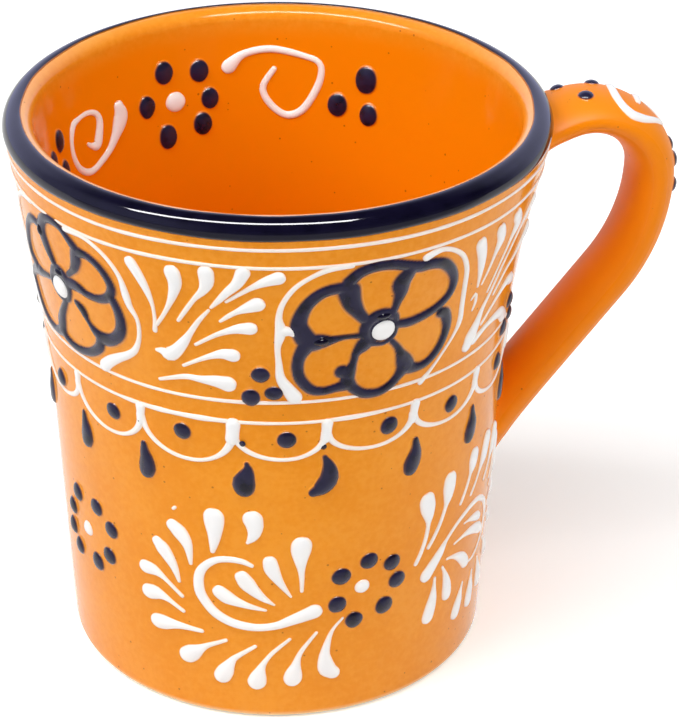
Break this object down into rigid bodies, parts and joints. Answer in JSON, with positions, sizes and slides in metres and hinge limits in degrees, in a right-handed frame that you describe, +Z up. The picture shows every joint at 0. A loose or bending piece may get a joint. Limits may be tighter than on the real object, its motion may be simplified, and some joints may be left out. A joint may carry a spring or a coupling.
{
  "type": "clay mug",
  "caption": "Flared clay mug with a rounded lip and a strap handle, its orange glaze trailed with raised white and dark blue slip ornament.",
  "frame": {"origin": "centre of the foot, on the plane that the mug stands on", "axes": "+Z up along the cup's axis, +X towards the handle, +Y completes a right-handed frame"},
  "size_m": [0.1187, 0.0932, 0.102],
  "materials": {
    "orange_glaze": "glossy orange glaze with fine dark specks, unglazed at the foot",
    "white_slip": "raised white slip under clear glaze",
    "navy_slip": "raised dark blue slip with a glossy, slightly grey sheen"
  },
  "bodies": {
    "root": {"cup_body": "orange_glaze", "handle": "orange_glaze", "lip_ring": "white_slip", "frieze_top_ring": "white_slip", "frieze_low_ring": "white_slip", "garland_ring": "white_slip", "garland_scallops": "white_slip", "flower_eyes": "white_slip", "frame_1": "white_slip", "frame_2": "white_slip", "frame_3": "white_slip", "frame_4": "white_slip", "frond_1": "white_slip", "frond_2": "white_slip", "frond_3": "white_slip", "frond_4": "white_slip", "swirl_1": "white_slip", "swirl_2": "white_slip", "swirl_3": "white_slip", "swirl_4": "white_slip", "plumes_1": "white_slip", "plumes_2": "white_slip", "plumes_3": "white_slip", "plumes_4": "white_slip", "rosette_eyes": "white_slip", "inside_scrolls_1": "white_slip", "inside_scrolls_2": "white_slip", "inside_eyes": "white_slip", "handle_leaf": "white_slip", "rim_band": "navy_slip", "garland_dots": "navy_slip", "garland_drops": "navy_slip", "flower_1": "navy_slip", "flower_2": "navy_slip", "flower_3": "navy_slip", "flower_4": "navy_slip", "berries_1": "navy_slip", "berries_2": "navy_slip", "berries_3": "navy_slip", "berries_4": "navy_slip", "rosette_1": "navy_slip", "rosette_2": "navy_slip", "rosette_3": "navy_slip", "inside_dots_1": "navy_slip", "inside_dots_2": "navy_slip", "handle_dots": "navy_slip"}
  },
  "joints": []
}
